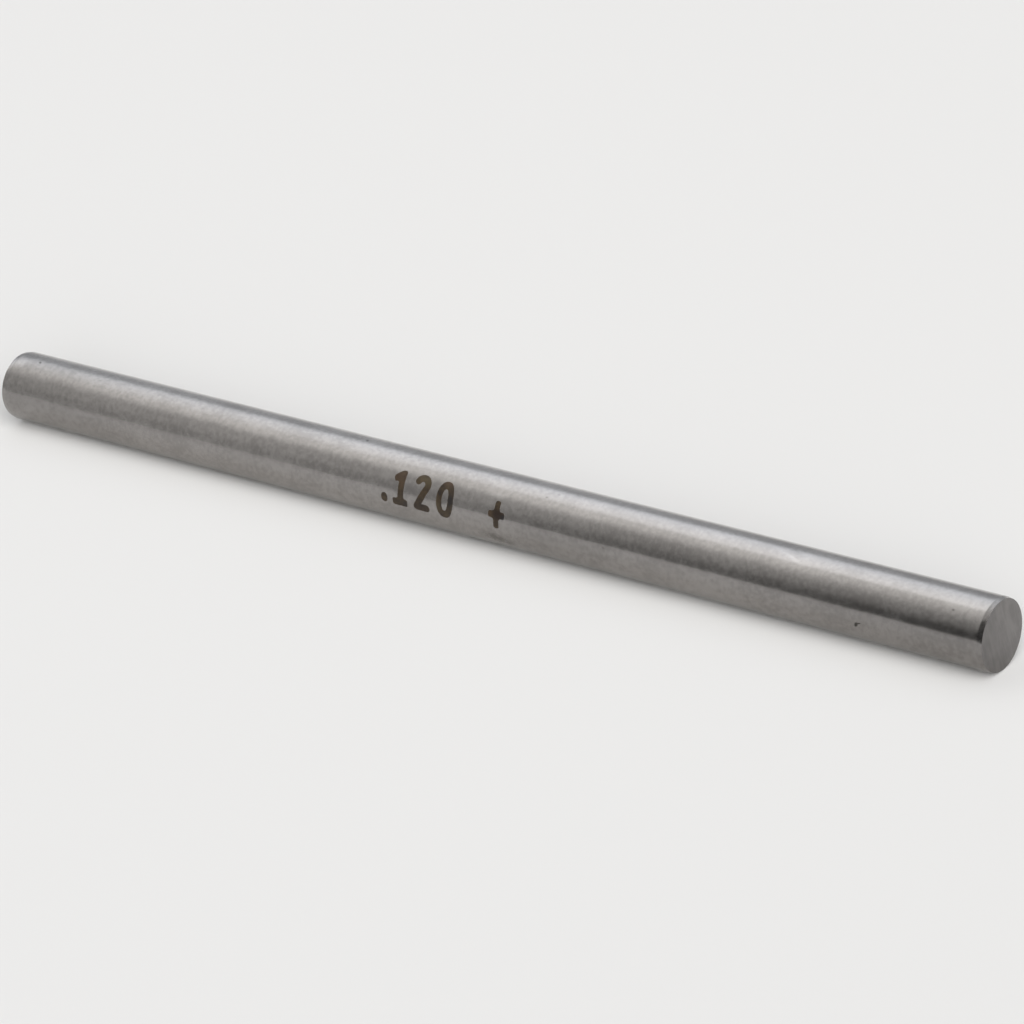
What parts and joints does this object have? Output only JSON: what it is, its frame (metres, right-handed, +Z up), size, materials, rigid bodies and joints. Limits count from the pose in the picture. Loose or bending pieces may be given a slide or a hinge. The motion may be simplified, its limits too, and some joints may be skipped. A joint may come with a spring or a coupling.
{
  "type": "pin gauge",
  "caption": "Straight ground steel pin with square ends and broken corners, used as a plug gauge to test the size of a hole.",
  "frame": {"origin": "on the table under the middle of the pin, midway along its line of contact", "axes": "+X along the pin's axis, in the direction that its mark reads, and +Z up from the table that the pin lies on"},
  "size_m": [0.0508, 0.003, 0.003],
  "materials": {
    "ground_steel": "ground and lapped"
  },
  "bodies": {
    "root": {"gauge_pin": "ground_steel"}
  },
  "joints": []
}
